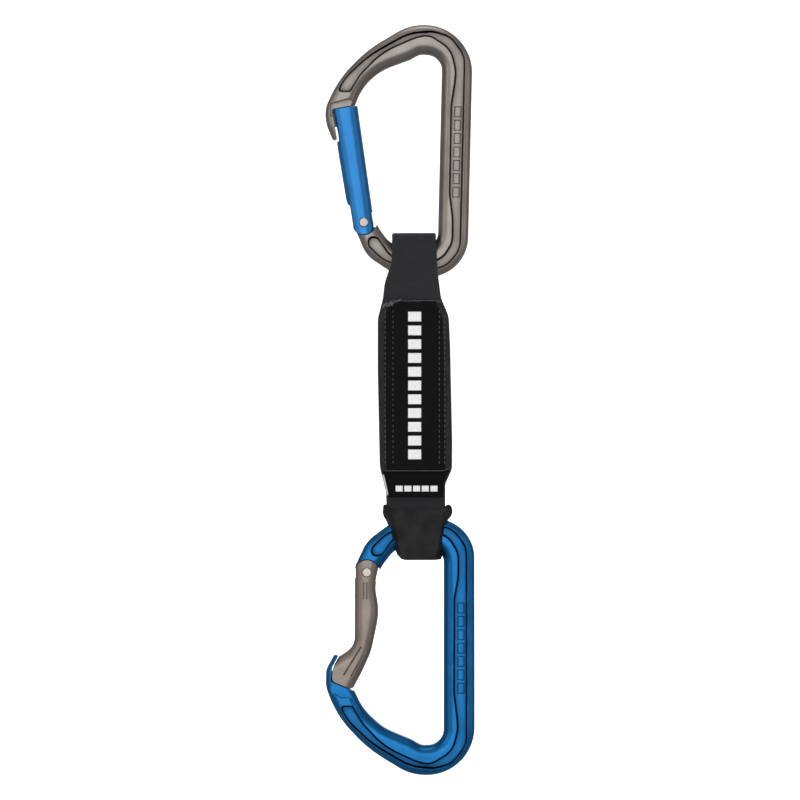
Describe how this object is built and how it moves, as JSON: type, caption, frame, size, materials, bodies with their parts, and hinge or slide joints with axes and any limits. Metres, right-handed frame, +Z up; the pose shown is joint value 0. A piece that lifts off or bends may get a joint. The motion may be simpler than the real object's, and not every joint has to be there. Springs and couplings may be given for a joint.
{
  "type": "climbing quickdraw",
  "caption": "Hanging quickdraw: straight-gate carabiner, sewn tapered webbing sling, and a bent-gate carabiner held in its eye by a rubber keeper.",
  "frame": {"origin": "point of the upper carabiner's basket that rests on the anchor", "axes": "+Z up along the hanging draw, +X towards the spines of both carabiners, -Y towards the front"},
  "size_m": [0.0575, 0.0174, 0.289],
  "materials": {
    "grey_aluminium": "satin anodised",
    "blue_aluminium": "satin anodised",
    "blue_body": "satin anodised",
    "grey_gate": "satin anodised",
    "steel": "plain",
    "webbing": "woven",
    "cover_tape": "satin weave",
    "thread": "twisted thread",
    "label": "satin weave",
    "rubber": "matt"
  },
  "bodies": {
    "upper_carabiner": {"upper_carabiner_body": "grey_aluminium", "upper_gate_rivet": "steel"},
    "upper_gate": {"upper_gate": "blue_aluminium", "upper_gate_spring": "steel"},
    "upper_pushrod": {"upper_pushrod": "steel"},
    "upper_eye": {"webbing_upper_eye": "webbing", "webbing_upper_neck": "webbing"},
    "sling": {"webbing_front_layer": "webbing", "webbing_back_layer": "webbing", "webbing_overlap_end": "webbing", "upper_bar_tack": "thread", "lower_bar_tack": "thread", "cover_tape": "cover_tape", "cover_stitches": "thread", "label_tab": "label", "webbing_lower_neck": "webbing"},
    "lower_carabiner": {"webbing_lower_eye": "webbing", "keeper": "rubber", "lower_carabiner_body": "blue_body", "lower_gate_rivet": "steel"},
    "lower_gate": {"lower_gate": "grey_gate", "lower_gate_spring": "steel"},
    "lower_pushrod": {"lower_pushrod": "steel"}
  },
  "joints": [
    {"name": "upper_gate_hinge", "type": "hinge", "parent": "upper_carabiner", "child": "upper_gate", "pos_m": [-0.02416, 0, -0.06461], "axis": [0, 1, 0], "range_deg": [0, 38], "stiffness_Nm_per_rad": 0.12, "springref_deg": -34.38},
    {"name": "upper_pushrod_slide", "type": "slide", "parent": "upper_gate", "child": "upper_pushrod", "axis": [-0.1659, 0, 0.9861], "range_m": [0, 0.001], "deforming": ["upper_gate_spring"]},
    {"name": "upper_eye_swing", "type": "hinge", "parent": "upper_carabiner", "child": "upper_eye", "pos_m": [-0.0046, 0, -0.0636], "axis": [0, 1, 0], "range_deg": [0, 20]},
    {"name": "upper_neck_flex", "type": "hinge", "parent": "upper_eye", "child": "sling", "pos_m": [-0.0046, 0, -0.0914], "axis": [1, 0, 0], "range_deg": [-60, 60], "deforming": ["webbing_upper_neck"]},
    {"name": "lower_neck_flex", "type": "hinge", "parent": "sling", "child": "lower_carabiner", "pos_m": [-0.004, 0, -0.174], "axis": [1, 0, 0], "range_deg": [-50, 50], "deforming": ["webbing_lower_neck"]},
    {"name": "lower_gate_hinge", "type": "hinge", "parent": "lower_carabiner", "child": "lower_gate", "pos_m": [-0.02299, 0, -0.1992], "axis": [0, -1, 0], "range_deg": [0, 38], "stiffness_Nm_per_rad": 0.12, "springref_deg": -34.38},
    {"name": "lower_pushrod_slide", "type": "slide", "parent": "lower_gate", "child": "lower_pushrod", "axis": [0, 0, -1], "range_m": [0, 0.001], "deforming": ["lower_gate_spring"]}
  ],
  "couplings": [
    {"joint": "upper_pushrod_slide", "follows": "upper_gate_hinge", "m_per_rad": 0.0015076},
    {"joint": "lower_pushrod_slide", "follows": "lower_gate_hinge", "m_per_rad": 0.0015076}
  ]
}
